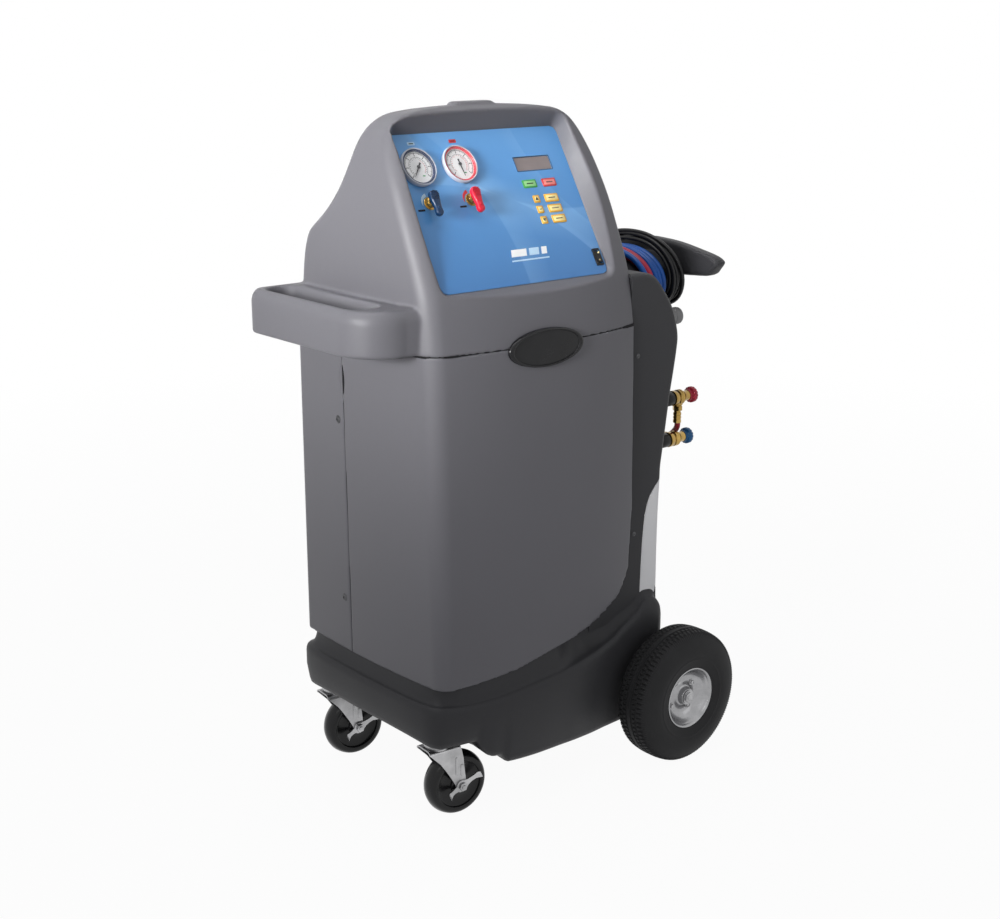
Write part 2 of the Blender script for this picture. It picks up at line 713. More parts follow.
def make_hood():
    """Hood: a hollow moulding with the panel's recess, the side tray and a flat boss on top."""
    rings = [cavity_ring(z) for z in reversed(CAVITY_LEVELS)] + [hood_ring(z) for z in HOOD_LEVELS]
    hood = ring_solid("hood", rings, GREY)

    rings = [recess_ring(h) for h in (-PANEL_THICK - SEAT, 0.0, RECESS_DEPTH)]
    recess = on_panel(ring_solid("panel_recess", rings))
    width, height = PANEL_WIDTH - 2 * WINDOW_BORDER, PANEL_HEIGHT - 2 * WINDOW_BORDER
    inner = rounded_outline(width, height, PANEL_CORNER)
    window = prism("panel_window", inner, -0.040, 0.010)
    on_panel(window, PANEL_X, PANEL_HEIGHT / 2)

    wall = COVER_LEFT + 0.003
    lip = [(0.0004, 0.003), (0.004, 0.0), (0.058, 0.0), (0.067, 0.002), (0.074, 0.0065),
           (TRAY_TOP - SEAM_Z, 0.013)]
    tray = ring_solid("tray_body", [
        [(x, y, SEAM_Z + rise) for x, y in tray_outline(inset, wall)] for rise, inset in lip
    ])
    slope = [(TROUGH_FLOOR, 0.016, 0.034), (TROUGH_FLOOR + 0.008, 0.009, 0.026),
             (TRAY_TOP - 0.005, 0.001, 0.004), (TRAY_TOP + 0.004, -0.005, -0.001)]
    rings = []
    for z, inset, inner in slope:
        left, right = TROUGH_LEFT + inset, TROUGH_RIGHT - inner
        near, far = TROUGH_NEAR + inset, TROUGH_FAR - inset
        centre = ((left + right) / 2, (near + far) / 2)
        radius = min(TROUGH_CORNER, (right - left) / 2 - 0.001)
        outline = rounded_outline(right - left, far - near, radius, 3, centre)
        rings.append([(x, y, z) for x, y in outline])
    trough = ring_solid("tray_trough", rings)
    foot = rounded_outline(BOSS_LENGTH, BOSS_WIDTH, 0.012, 3, (0, BOSS_Y))
    head = rounded_outline(BOSS_LENGTH - 0.012, BOSS_WIDTH - 0.008, 0.009, 3, (0, BOSS_Y))
    boss = ring_solid("top_boss", [
        [(x, y, 1.228) for x, y in foot], [(x, y, HOOD_TOP) for x, y in foot],
        [(x, y, BOSS_TOP) for x, y in head],
    ])
    cut(hood, recess, window)
    join(hood, tray)
    cut(hood, trough)
    join(hood, boss)


def make_panel():
    """The fascia plate, cut for gauges, valves, keys, display and power switch."""
    outline = rounded_outline(
        PANEL_WIDTH, PANEL_HEIGHT, PANEL_CORNER, 2, (PANEL_X, -PANEL_HEIGHT / 2)
    )
    panel = on_panel(prism("control_panel", outline, -PANEL_THICK, 0.0, BLUE_PANEL))
    frame = rounded_outline(*SWITCH_FRAME, 0.002, 2, (SWITCH_RIGHT, -SWITCH_DOWN))
    join(panel, on_panel(prism("switch_frame", frame, -PANEL_THICK / 2, SWITCH_RISE)))
    holes = []
    for right in (LOW_SIDE, HIGH_SIDE):
        holes.append(arc((right, -GAUGE_DOWN), GAUGE_CAN_RADIUS + SEAT, 0, 337.5, 15))
        holes.append(arc((right, -VALVE_DOWN), STEM_RADIUS + SEAT, 0, 330, 11))
    for right, down, width, height in [DISPLAY, *KEYS.values()]:
        size = (width + 2 * SEAT, height + 2 * SEAT)
        holes.append(rounded_outline(*size, KEY_CORNER, 1, (right, -down)))
    holes.append(rounded_outline(*SWITCH_SLOT, 0.001, 2, (SWITCH_RIGHT, -SWITCH_DOWN)))
    for k, hole in enumerate(holes):
        cut(panel, on_panel(prism(f"panel_hole_{k}", hole, -0.010, 0.010)))


def make_gauge(name, right):
    """A pressure gauge: bezel on the panel, can behind it, dial sunk in the bezel."""
    profile = [
        (0, -GAUGE_CAN_DEPTH), (GAUGE_CAN_RADIUS, -GAUGE_CAN_DEPTH), (GAUGE_CAN_RADIUS, SEAT),
        (GAUGE_RADIUS, SEAT), (GAUGE_RADIUS, 0.006), (GAUGE_RADIUS - 0.001, GAUGE_FRONT - 0.0005),
        (GAUGE_RADIUS - 0.003, GAUGE_FRONT), (GAUGE_RADIUS - 0.004, GAUGE_FRONT - 0.001),
        (GAUGE_RADIUS - 0.004, DIAL_DEPTH), (0.0016, DIAL_DEPTH), (0.0016, DIAL_DEPTH + 0.0010),
        (0, DIAL_DEPTH + 0.0010),
    ]
    on_panel(turned(name, profile, CASE, 16), right, GAUGE_DOWN)


def make_needle(name, right, lean):
    """A needle on the dial's centre, leaning from straight down by its rest angle."""
    low = DIAL_DEPTH + 0.0010 + SEAT
    hub = arc((0, 0), 0.0026, -60, 240, 8)
    outline = [(0.0009, -NEEDLE_LENGTH)] + hub + [(-0.0009, -NEEDLE_LENGTH)]
    made = on_panel(prism(name, outline, low, low + NEEDLE_THICK, BLACK), right, GAUGE_DOWN)
    made.matrix_world = made.matrix_world @ Matrix.Rotation(lean, 4, "Z")


def make_valve(side, right, look):
    """A service valve: brass bonnet through the panel, with a quarter-turn lever."""
    profile = [
        (0, -0.020), (STEM_RADIUS, -0.020), (STEM_RADIUS, SEAT), (BONNET_RADIUS, SEAT),
        (BONNET_RADIUS, BONNET_HEIGHT - 0.002), (BONNET_RADIUS - 0.002, BONNET_HEIGHT),
        (SPINDLE_RADIUS, BONNET_HEIGHT), (SPINDLE_RADIUS, LEVER_GAP - SEAT), (0, LEVER_GAP - SEAT),
    ]
    on_panel(turned(f"{side}_valve_body", profile, BRASS, 12), right, VALVE_DOWN)
    crown = arc((0, 0), LEVER_BOSS, 10, 170, 8)
    tip = arc((0, -LEVER_REACH + LEVER_TIP), LEVER_TIP, 180, 360, 6)
    outline = crown + tip
    rings = []
    for rise, inset in ((0, 0.0008), (0.001, 0), (LEVER_THICK - 0.002, 0), (LEVER_THICK, 0.002)):
        rings.append([(x, y, LEVER_GAP + rise) for x, y in inset_outline(outline, inset)])
    on_panel(ring_solid(f"{side}_valve_lever", rings, look), right, VALVE_DOWN)


def make_keys():
    looks = {"start_key": GREEN, "stop_key": RED}
    for name, (right, down, width, height) in KEYS.items():
        rings = []
        for rise, inset in ((-KEY_STEM, 0), (KEY_RISE - 0.0005, 0), (KEY_RISE, 0.0006)):
            outline = rounded_outline(width - 2 * inset, height - 2 * inset, KEY_CORNER, 1)
            rings.append([(x, y, rise) for x, y in outline])
        on_panel(ring_solid(name, rings, looks.get(name, YELLOW)), right, down)
    right, down, width, height = DISPLAY
    outline = rounded_outline(width, height, KEY_CORNER, 1)
    window = prism("display_window", outline, -PANEL_THICK + 0.0005, -0.0005, GLASS)
    on_panel(window, right, down)


def make_power_rocker():
    """A rocker whose lower end stands proud; it turns about the panel's own X."""
    half = SWITCH_SLOT[0] / 2 - SEAT
    side_view = [
        (-0.0108, 0.0062), (-0.0080, -0.0040), (0.0080, -0.0040), (0.0108, 0.0020),
        (0.0104, 0.0030), (0.0, 0.0042), (-0.0104, 0.0072),
    ]
    rings = [[(x, y, h - 0.0015) for y, h in side_view] for x in (-half, half)]
    on_panel(ring_solid("power_rocker", rings, BLACK), SWITCH_RIGHT, SWITCH_DOWN)


def front_y(x, z):
    """The outer front surface of hood or cover at a place."""
    if z >= SEAM_Z:
        return -smooth_value(HOOD_FRONT, z) - bowed(x, smooth_value(HOOD_BOW, z))
    depth, bow, _ = cover_size(cover_share(z), -1)
    return -depth - bowed(x, bow)


def make_badge():
    """A bare oval badge plate with a raised rim, laid over the seam."""
    back = [(0.04, 0.0), (0.5, 0.0), (1.0, 0.0)]
    face = [(1.0, 0.6), (0.97, 1.0), (0.88, 1.0), (0.84, 0.6), (0.42, 0.6), (0.04, 0.6)]
    rings = []
    for scale, rise in back + face:
        ring = []
        for x, z in oval(BADGE_HALF_WIDTH * scale, BADGE_HALF_HEIGHT * scale, 18, 2.0):
            px, pz = BADGE_X + x, BADGE_Z + z
            y = front_y(px, pz) - 2 * SEAT
            if rise:
                y = min(y - 0.0010, front_y(px, SEAM_Z) - BADGE_RISE * rise)
            ring.append((px, y, pz))
        rings.append(ring)
    ring_solid("badge_plate", rings, BLACK)


def riser_half(x, side):
    """Half the width of the base's upstand, which stands inside the covers and housing."""
    if x > HOUSING_FOOT_X:
        return HOUSING_HALF - HOUSING_WALL - 3 * SEAT
    gap = COVER_WALL + 3 * SEAT
    left = COVER_LEFT + COVER_DRAFT_SIDE
    depth, bow, corner = cover_size(1.0, side)
    corner_x, corner_y = left + corner, depth - corner
    radius = corner - gap
    bow = bowed(x, bow)
    if x > corner_x:
        return depth - gap + bow
    if x > corner_x - radius:
        return corner_y + math.sqrt(radius**2 - (corner_x - x) ** 2) + bow * 0.9
    return corner_y * math.sqrt(max(0.02, 1 - (corner_x - radius - x) / SIDE_BOW))


def base_section(x, stage):
    """Half sections of the base at x, joined; stage says what stands on the ledge there."""
    ridge = smooth_value(RIDGE_Z, x)
    keel = smooth_value(KEEL_Z, x)
    ledge = ridge + 0.003
    halves = []
    for side, table in ((-1, RIDGE_FRONT), (1, RIDGE_BACK)):
        wide = smooth_value(table, x)
        low = wide - smooth_value(KEEL_INSET, x)
        riser = min(riser_half(x, side), wide - LEDGE - 0.002)
        rim = groove = ledge
        floor = ledge - 0.0002
        if stage == "cover":
            groove = ledge + 0.002
            rim = smooth_value(COVER_EDGE, x) + COVER_LAP
        elif stage == "housing":
            groove = ridge + FOOT_STEP
            rim = groove + COVER_LAP
        elif stage == "door":
            groove = DOOR_FOOT - 0.002
            rim = DOOR_FOOT + COVER_LAP
        elif stage == "groove":
            groove = rim = DOOR_FOOT - 0.002
            floor = groove - 0.0002
        if stage in ("cover", "housing", "door"):
            share = min(1.0, max(0.0, (x - HIGH_FLOOR_X) / (LOW_FLOOR_X - HIGH_FLOOR_X)))
            floor = HIGH_FLOOR + (LOW_FLOOR - HIGH_FLOOR) * share
        shelf = wide - LEDGE
        seat = shelf - 0.0005
        if stage in ("housing", "door", "groove"):
            shelf = HOUSING_HALF + 0.002
            seat = HOUSING_HALF + 2 * SEAT
        halves.append([
            (side * (low - 0.014), keel), (side * low, keel + 0.014),
            (side * wide, ridge - 0.010), (side * (wide - 0.005), ridge),
            (side * shelf, ledge), (side * seat, groove), (side * (riser + 0.0004), groove),
            (side * riser, rim),
            (side * (riser - BASE_WALL), rim), (side * (riser - BASE_WALL), floor),
        ])
    front, back = halves
    return [(x, y, z) for y, z in front + list(reversed(back))]


def end_wall(section):
    """The same section with its well filled to just under the rim."""
    made = list(section)
    half = len(made) // 2
    for k in (half - 1, half):
        x, y, z = made[k]
        made[k] = (x, y, made[half - 2][2] - 0.0002)
    return made


def make_base():
    """The moulded base: a tray with a ledge, an upstand inside the covers and a deep keel."""
    step = 0.0002
    inner_left = COVER_LEFT + COVER_DRAFT_SIDE - SIDE_BOW + COVER_WALL + 2 * SEAT
    door_rear = smooth_value([(z, x) for x, z in reversed(HOUSING_REAR)], DOOR_FOOT)
    rear_inside = door_rear - HOUSING_WALL - 4 * SEAT
    sections = [base_section(x, "plain") for x in (BASE_LEFT, -0.252, -0.248, -0.243, -0.2360)]
    sections.append(base_section(inner_left, "plain"))
    sections.append(end_wall(base_section(inner_left + step, "cover")))
    sections.append(end_wall(base_section(inner_left + BASE_WALL, "cover")))
    spans = [
        ("cover", (inner_left + BASE_WALL + step, -0.218, -0.206, -0.159, -0.147, -0.122,
                   -0.104, -0.088, -0.020, 0.060, HOUSING_FOOT_X - step)),
        ("housing", (HOUSING_FOOT_X + step, 0.173, 0.199, 0.241, DOOR_EDGE[-1][0] - step)),
        ("door", (DOOR_EDGE[-1][0] + step, 0.290, rear_inside - BASE_WALL - step)),
    ]
    for stage, places in spans:
        sections += [base_section(x, stage) for x in places]
    sections.append(end_wall(base_section(rear_inside - BASE_WALL, "door")))
    sections.append(end_wall(base_section(rear_inside, "door")))
    sections.append(base_section(rear_inside + step, "groove"))
    sections.append(base_section(door_rear + 0.0005, "groove"))
    sections.append(base_section(door_rear + 0.0007, "plain"))
    sections.append(base_section(0.3175, "plain"))
    sections.append(base_section(BASE_RIGHT, "plain"))
    base = ring_solid("base_tray", sections, CHARCOAL)
    bore = turned("axle_bore", [(0, -0.215), (AXLE_RADIUS + RUN, -0.215),
                                (AXLE_RADIUS + RUN, 0.215), (0, 0.215)], steps=20)
    cut(base, place(bore, (AXLE_X, 0, TYRE_RADIUS), ALONG_Y))


def housing_outline(inset):
    """The housing's side outline from its foot round the rear to the top, as (x, z)."""
    rear = [Vector(p) for p in reversed(HOUSING_REAR)]
    made = []
    for i, here in enumerate(rear):
        a, b = rear[max(0, i - 1)], rear[min(len(rear) - 1, i + 1)]
        along = (b - a).normalized()
        made.append((here.x - along.y * inset, here.y + along.x * inset))
    made[-1] = (COVER_RIGHT + SEAT, made[-1][1])
    made[0] = (made[0][0], HOUSING_REAR[-1][1])
    return made


def housing_foot(x):
    return smooth_value(RIDGE_Z, x) + FOOT_STEP + SEAT


def housing_body(name, look):
    """The rounded body that the housing and the tank cover are both cut from."""
    edge = [(x + SEAT, z) for x, z in COVER_EDGE if x > HOUSING_FOOT_X]
    foot_x = HOUSING_FOOT_X + 0.001
    left = [(COVER_RIGHT + SEAT, 0.700), *reversed(edge)]
    left.append((foot_x, smooth_value(COVER_EDGE, foot_x) - SEAT))
    foot = [(x, housing_foot(x)) for x in (foot_x, 0.173, 0.199, 0.241, 0.2620)]
    foot.append((0.2630, DOOR_FOOT))
    rings = []
    rounding = [(HOUSING_ROUND * (1 - math.cos(a)), HOUSING_ROUND * (1 - math.sin(a)))
                for a in (0, math.radians(45), math.radians(90))]
    stations = [(HOUSING_HALF - along, inset) for along, inset in rounding]
    stations += [(-y, inset) for y, inset in reversed(stations)]
    for y, inset in stations:
        outline = housing_outline(inset) + left + foot
        rings.append([(x, y, z) for x, z in outline])
    return ring_solid(name, rings, look)


def xz_prism(name, outline, half):
    return ring_solid(name, [[(x, y, z) for x, z in outline] for y in (half, -half)])


def housing_hollow(name):
    inside = housing_outline(HOUSING_WALL)
    inside[0] = (inside[0][0], 0.180)
    inside.append((COVER_RIGHT - 0.050, inside[-1][1]))
    inside.append((0.060, 0.850))
    inside.append((0.060, 0.180))
    return xz_prism(name, inside, HOUSING_HALF - HOUSING_WALL)


def door_region(name, gap, half=0.30):
    edge = [(x + gap, z - gap) for x, z in DOOR_EDGE]
    outline = edge + [(DOOR_EDGE[-1][0] + gap, 0.250), (0.400, 0.250)]
    outline[0] = (0.400, outline[0][1])
    return xz_prism(name, list(reversed(outline)), half)


def make_housing():
    """Rear housing with its parking posts, and the pale tank cover below it."""
    housing = cut(housing_body("rear_housing", CHARCOAL), housing_hollow("housing_hollow"))
    cut(housing, door_region("door_opening", 0.0))
    for name, z, end in (("high", HIGH_COUPLER_Z, HIGH_COUPLER_X), ("low", LOW_COUPLER_Z, LOW_COUPLER_X)):
        start = smooth_value([(q, p) for p, q in reversed(HOUSING_REAR)], z) - 0.0035
        post = turned(f"{name}_post", [(0, 0), (POST_RADIUS + 0.002, 0),
                                       (POST_RADIUS, end - start - SEAT), (0, end - start - SEAT)],
                      steps=16)
        join(housing, place(post, (start, COUPLER_Y, z), ALONG_X))
    drum = drum_outline(SEAT)
    cut(housing, ring_solid("hanger_opening", [[(x, y, z) for y, z in drum] for x in (0.255, 0.380)]))
    for name, radius, y, z in (("muffler", MUFFLER_RADIUS, MUFFLER_Y, MUFFLER_Z),
                               ("gland", GLAND_RADIUS, GLAND_Y, GLAND_Z)):
        hole = turned(f"{name}_hole", [(0, 0.30), (radius + SEAT, 0.30),
                                       (radius + SEAT, 0.38), (0, 0.38)], steps=20)
        cut(housing, place(hole, (0, y, z), ALONG_X))
    tank_cover = housing_body("tank_cover", WHITE)
    cut(tank_cover, housing_hollow("cover_hollow"))
    combine(tank_cover, door_region("door_body", DOOR_GAP, 0.25), "INTERSECT")


def drum_outline(grow=0.0, sag=0.0):
    """The hanger's oval in (y, z), grown on every side."""
    return [(y, z + DRUM_Z - sag) for y, z in oval(DRUM_HALF_WIDTH + grow, DRUM_HALF_HEIGHT + grow)]


def make_hanger():
    """The hose hanger: an oval drum out of the housing, ended by a drooping wing."""
    drum = [[(x, y, z) for y, z in drum_outline()] for x in (DRUM_START, DRUM_END + 0.004)]
    hanger = ring_solid("hose_hanger", drum, CHARCOAL)
    outline = WING_HALF + [(-y, z) for y, z in reversed(WING_HALF[1:-1])]
    outline.reverse()
    rings = []
    for along, inset in ((0, 0.003), (0.003, 0), (WING_THICK - WING_EDGE_ROUND, 0),
                         (WING_THICK - 0.002, 0.003), (WING_THICK, WING_EDGE_ROUND)):
        rings.append([(DRUM_END + along, y, z) for y, z in inset_outline(outline, inset)])
    join(hanger, ring_solid("wing", rings))


def make_coupler(side, x, z, look, down):
    """A service coupler parked on its post, with a hose fitting and a turning knob."""
    profile = [
        (0, 0), (COUPLER_RADIUS, 0), (COUPLER_RADIUS, 0.010), (0.0118, 0.0120),
        (COUPLER_RADIUS, 0.0145), (COUPLER_RADIUS, 0.0235),
        (COUPLER_NECK, 0.0300), (COUPLER_NECK, COUPLER_LENGTH), (0, COUPLER_LENGTH),
    ]
    body = place(turned(f"coupler_{side}", profile, BRASS, 12), (x, COUPLER_Y, z), ALONG_X)
    fitting = turned(f"fitting_{side}", [(0, 0.003), (FITTING_RADIUS, 0.003), (FITTING_RADIUS, 0.022),
                                         (0.0070, 0.023), (0.0070, FITTING_LENGTH), (0, FITTING_LENGTH)],
                     steps=12)
    turn = (Matrix.Rotation(math.pi, 4, "X") if down else ALONG_Y) @ Matrix.Rotation(0.1, 4, "Z")
    join(body, place(fitting, (x + FITTING_OFFSET, COUPLER_Y, z), turn))
    knob = [
        (0, 0), (0.0110, 0), (KNOB_RADIUS, 0.004), (KNOB_RADIUS, KNOB_LENGTH - 0.003),
        (KNOB_RADIUS - 0.003, KNOB_LENGTH), (0, KNOB_LENGTH),
    ]
    made = turned(f"{side}_coupler_knob", knob, look, 16)
    place(made, (x + COUPLER_LENGTH + SEAT, COUPLER_Y, z), ALONG_X)


def make_rear_fittings():
    make_coupler("high", HIGH_COUPLER_X, HIGH_COUPLER_Z, RED, True)
    make_coupler("low", LOW_COUPLER_X, LOW_COUPLER_Z, BLUE, False)
    length = MUFFLER_END - MUFFLER_START
    profile = [(0, 0), (MUFFLER_RADIUS, 0), (MUFFLER_RADIUS, length - 0.003),
               (MUFFLER_RADIUS - 0.003, length), (0.008, length), (0.008, length - 0.012),
               (0, length - 0.012)]
    muffler = turned("exhaust_muffler", profile, ("muffler_grey", (0.22, 0.22, 0.23), 0.6), 20)
    place(muffler, (MUFFLER_START, MUFFLER_Y, MUFFLER_Z), ALONG_X)
    length = GLAND_END - GLAND_START
    profile = [(0, 0), (GLAND_RADIUS, 0), (GLAND_RADIUS, length - 0.016),
               (0.0075, length - 0.014), (0.0050, length), (0, length)]
    gland = turned("cord_gland", profile, BLACK, 16)
    place(gland, (GLAND_START, GLAND_Y, GLAND_Z), ALONG_X)


def coil(name, start, end, thick, look):
    """The outer shape of a winding that hangs on the drum, from start to end along X."""
    inner = drum_outline(COIL_GAP - SEAT, COIL_SAG - COIL_GAP)
    outer = drum_outline(COIL_GAP + thick, COIL_SAG)
    rings = []
    for outline, x in ((inner, start), (outer, start), (outer, end), (inner, end)):
        rings.append([(x, y, z) for y, z in outline])
    hoop_solid(name, rings, look)


def tube(name, route, diameter, look):
    """A cord along a smooth curve through the route's points."""
    spline = bpy.data.curves.new(name + "_guide", "CURVE")
    spline.dimensions = "3D"
    dense = []
    count = len(route)
    for i in range(count - 1):
        p = [Vector(route[max(0, min(count - 1, k))]) for k in (i - 1, i, i + 1, i + 2)]
        for s in range(8):
            t = s / 8
            dense.append(0.5 * ((2 * p[1]) + (p[2] - p[0]) * t
                                + (2 * p[0] - 5 * p[1] + 4 * p[2] - p[3]) * t**2
                                + (3 * p[1] - p[0] - 3 * p[2] + p[3]) * t**3))
    dense.append(Vector(route[-1]))
    kept = [dense[0]]
    for point in dense[1:-1]:
        spacing = 1.1 if len(kept) == 1 else 2.4
        if (point - kept[-1]).length > spacing * diameter and (dense[-1] - point).length > diameter:
            kept.append(point)
    kept.append(dense[-1])
    line = spline.splines.new("POLY")
    line.points.add(len(kept) - 1)
    for point, place_at in zip(line.points, kept):
        point.co = (*place_at, 1)
    spline.bevel_depth = diameter / 2
    spline.bevel_resolution = 2
    spline.use_fill_caps = True
    made = bpy.data.objects.new(name, spline)
    bpy.context.scene.collection.objects.link(made)
    spline.materials.append(material(*look))
    return made


def make_cords():
    """Two service hoses and the mains lead, wound on the hanger, and their free ends."""
    hose_end = COIL_START + HOSE_TURNS * HOSE_DIAMETER
    lead_start = hose_end + COIL_GAP
    lead_end = lead_start + LEAD_TURNS * LEAD_DIAMETER + 0.004
    coil("hose_winding", COIL_START, hose_end, HOSE_LAYERS * HOSE_DIAMETER, BLUE)
    coil("lead_winding", lead_start, lead_end, 3.0 * LEAD_DIAMETER, BLACK)
    hose_foot = DRUM_Z - COIL_SAG - DRUM_HALF_HEIGHT - COIL_GAP - HOSE_LAYERS * HOSE_DIAMETER - SEAT
    lead_foot = DRUM_Z - COIL_SAG - DRUM_HALF_HEIGHT - COIL_GAP - 3.0 * LEAD_DIAMETER - SEAT
    fitting_x = HIGH_COUPLER_X + FITTING_OFFSET
    tube("high_hose_tail", [
        (fitting_x, COUPLER_Y, HIGH_COUPLER_Z - FITTING_LENGTH - SEAT),
        (fitting_x, COUPLER_Y, 0.634), (0.4085, -0.140, 0.615), (0.4105, -0.124, 0.599),
        (0.4030, -0.102, 0.580), (0.3940, -0.076, 0.564), (0.3880, -0.045, 0.554),
        (0.3850, -0.012, 0.564),
        (0.3845, 0.010, 0.600), (0.3835, 0.016, 0.660), (0.3800, 0.014, 0.740),
        (0.3742, 0.012, hose_foot - 0.030), (0.3732, 0.012, hose_foot),
    ], HOSE_DIAMETER, RED)
    fitting_x = LOW_COUPLER_X + FITTING_OFFSET
    tube("low_hose_tail", [
        (fitting_x, COUPLER_Y + FITTING_LENGTH + SEAT, LOW_COUPLER_Z),
        (fitting_x, -0.104, LOW_COUPLER_Z),
        (0.3860, -0.080, 0.608), (0.3845, -0.056, 0.634), (0.3820, -0.038, 0.675),
        (0.3760, -0.026, 0.730), (0.3640, -0.016, hose_foot - 0.026), (0.3615, -0.014, hose_foot),
    ], HOSE_DIAMETER, BLUE)
    tube("mains_lead", [
        (GLAND_END + SEAT, GLAND_Y, GLAND_Z), (GLAND_END + 0.010, GLAND_Y, GLAND_Z),
        (GLAND_END + 0.020, GLAND_Y - 0.001, GLAND_Z + 0.002), (0.4030, 0.1170, 0.7120),
        (0.4130, 0.1130, 0.7330), (0.4170, 0.1080, 0.7620), (0.4180, 0.1025, 0.8000),
        (0.4180, 0.0970, LEAD_JOIN_Z - 0.012), (0.4180, 0.0955, LEAD_JOIN_Z),
    ], LEAD_DIAMETER, BLACK)
    plug_top = 0.716
    tube("plug_lead", [
        (0.449, 0.018, lead_foot + 0.0007), (0.449, 0.020, lead_foot - 0.022), (0.450, 0.026, 0.760),
        (0.450, 0.028, plug_top + 0.020), (0.450, 0.028, plug_top + SEAT),
    ], LEAD_DIAMETER, BLACK)
    rings = []
    for down, wide, deep in ((0, 0.0045, 0.0045), (0.016, 0.0065, 0.0060), (0.020, 0.0120, 0.0090),
                             (0.044, 0.0135, 0.0100), (0.048, 0.0120, 0.0085)):
        outline = oval(deep, wide, 16, 2.6)
        rings.append([(0.450 + x, 0.028 + y, plug_top - down) for x, y in outline])
    ring_solid("mains_plug", rings, BLACK)


def make_rear_wheels():
    """Two air-filled tyres on dished steel rims, on one axle through the base."""
    outer = HUB_OUTER + SEAT
    profile = [(0, -outer - NUT_LENGTH), (NUT_RADIUS, -outer - NUT_LENGTH), (NUT_RADIUS, -outer),
               (AXLE_RADIUS, -outer), (AXLE_RADIUS, outer), (NUT_RADIUS, outer),
               (NUT_RADIUS, outer + NUT_LENGTH), (0, outer + NUT_LENGTH)]
    centre = (AXLE_X, 0, TYRE_RADIUS)
    place(turned("axle", profile, ZINC, 16), centre, ALONG_Y)
    inner = TYRE_INNER + 0.006
    rim = [
        (AXLE_RADIUS + RUN, inner), (HUB_RADIUS, inner), (HUB_RADIUS, 0.249), (0.046, 0.249),
        (0.0500, inner), (RIM_FLANGE, inner), (RIM_SEAT, inner + 0.005),
        (RIM_SEAT, RIM_OUTER - 0.005), (RIM_FLANGE, RIM_OUTER), (0.0505, RIM_OUTER),
        (0.0455, 0.257), (HUB_RADIUS, 0.260), (HUB_RADIUS, HUB_OUTER),
        (AXLE_RADIUS + RUN, HUB_OUTER),
    ]
    middle = (TYRE_INNER + TYRE_OUTER) / 2
    half = (TYRE_OUTER - TYRE_INNER) / 2
    bead = (RIM_OUTER - inner) / 2 - 0.0058
    side = [(RIM_SEAT + SEAT, bead), (RIM_FLANGE + SEAT, bead + 0.0028), (0.070, half * 0.953),
            (0.092, half), (0.112, half * 0.929), (0.125, half * 0.718),
            (TYRE_RADIUS, half * 0.341)]
    tyre = [(r, middle + h) for r, h in side] + [(r, middle - h) for r, h in reversed(side)]
    for name, side_sign in (("near", -1), ("far", 1)):
        for kind, points, look, steps in (("rim", rim, ZINC, 22), ("tyre", tyre, RUBBER, 22)):
            flipped = [(r, h * side_sign) for r, h in points]
            place(turned(f"{name}_{kind}", flipped, look, steps, closed=True), centre, ALONG_Y)


def fork_ribbon(name):
    """The fork's bent strip, in the swivel's frame: X points along the trail, Z up from the floor."""
    inside = CASTER_WIDTH / 2 + FORK_GAP
    top = CASTER_TOP - CASTER_PLATE[2] - RACE_HEIGHT - CASTER_RADIUS
    bend = 0.006
    half = [
        (inside, -0.010, 0.0, 0.005), (inside, -0.006, 0.0, 0.009), (inside, 0.004, -0.001, 0.0105),
        (inside, 0.034, -0.012, 0.017), (inside, top - 0.018, -0.024, 0.026),
        (inside, top - bend, -CASTER_TRAIL + 0.004, 0.032), (inside - bend, top, -CASTER_TRAIL + 0.004, 0.032),
    ]
    half = [(y, CASTER_RADIUS + z, CASTER_TRAIL + x, w) for y, z, x, w in half]
    path = [(-y, z, x, w) for y, z, x, w in half] + [(y, z, x, w) for y, z, x, w in reversed(half)]
    rings = []
    for i, (y, z, x, wide) in enumerate(path):
        a, b = path[max(0, i - 1)], path[min(len(path) - 1, i + 1)]
        along = Vector((b[0] - a[0], b[1] - a[1])).normalized()
        out = Vector((-along.y, along.x)) * FORK_WALL
        rings.append([(x - wide, y, z), (x + wide, y, z), (x + wide, y + out.x, z + out.y),
                      (x - wide, y + out.x, z + out.y)])
    return ring_solid(name, rings, ZINC)


